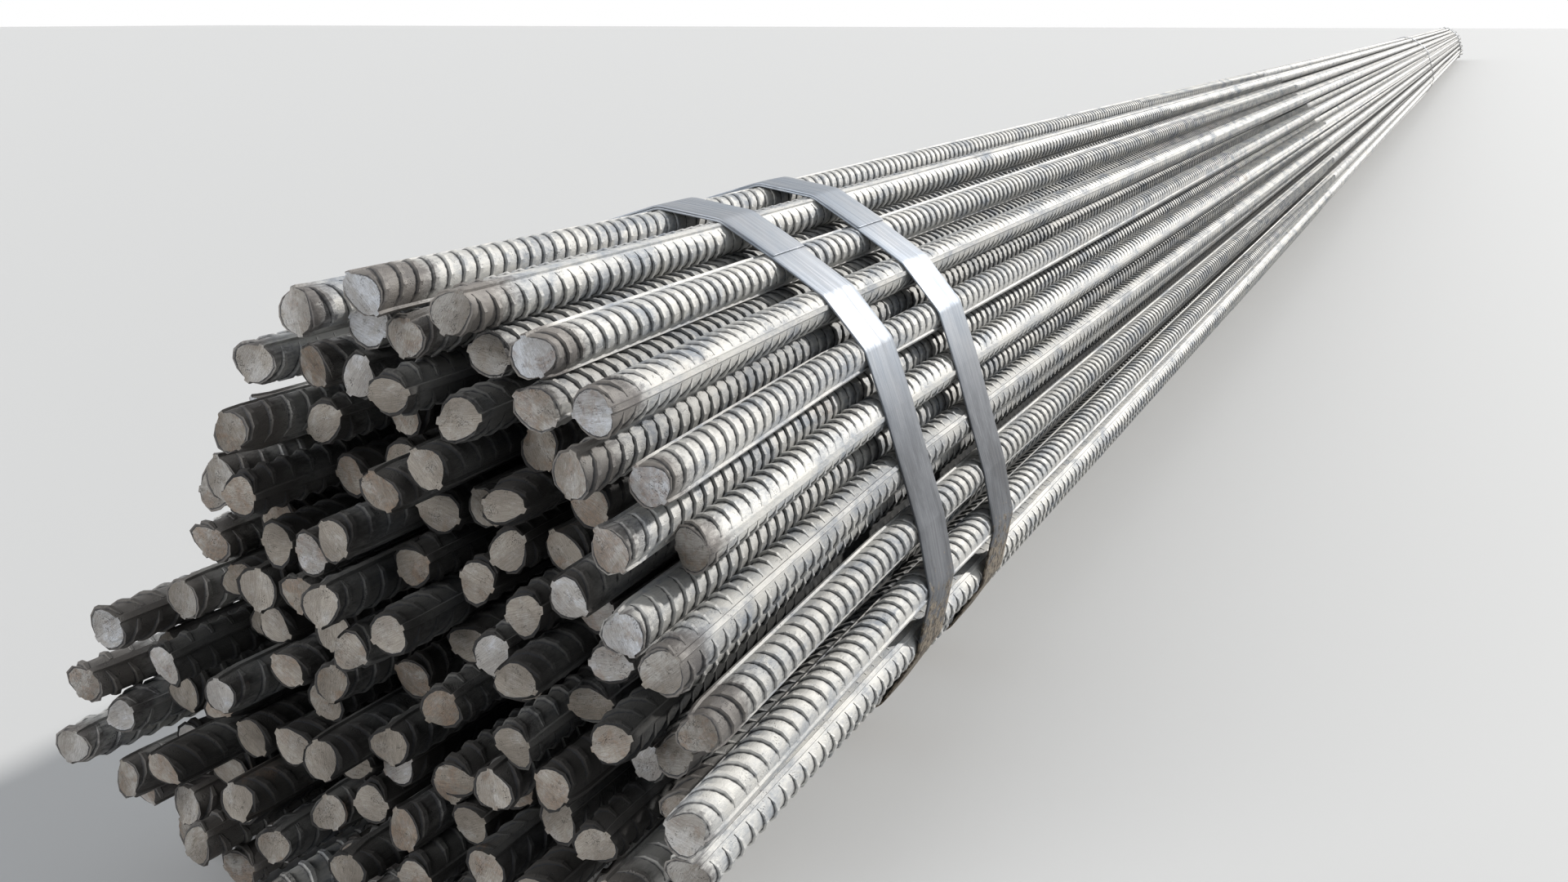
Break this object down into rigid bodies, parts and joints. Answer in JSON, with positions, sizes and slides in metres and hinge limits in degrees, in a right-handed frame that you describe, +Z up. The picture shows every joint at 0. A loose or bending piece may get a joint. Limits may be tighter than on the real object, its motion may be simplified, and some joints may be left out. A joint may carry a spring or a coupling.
{
  "type": "rebar bundle",
  "caption": "Long bundle of straight ribbed steel reinforcing bars, held by flat steel straps, lying on the floor.",
  "frame": {"origin": "on the floor, under the middle of the bundle's bounding box", "axes": "+X runs along the bars from the near ends to the far ends, +Y is to the left looking that way, +Z is up"},
  "size_m": [12.036, 0.2538, 0.2269],
  "materials": {
    "bar_steel": "hot-rolled, grey and slightly shiny",
    "strap_steel": "bright cold-rolled strapping"
  },
  "bodies": {
    "root": {"bars_ring_1": "bar_steel", "bars_ring_2": "bar_steel", "bars_ring_3": "bar_steel", "bars_ring_4": "bar_steel", "bars_ring_5": "bar_steel", "bars_ring_6": "bar_steel", "bars_ring_7": "bar_steel", "strap_front_outer": "strap_steel", "strap_front_inner": "strap_steel", "strap_middle": "strap_steel", "strap_back_inner": "strap_steel", "strap_back_outer": "strap_steel"}
  },
  "joints": []
}
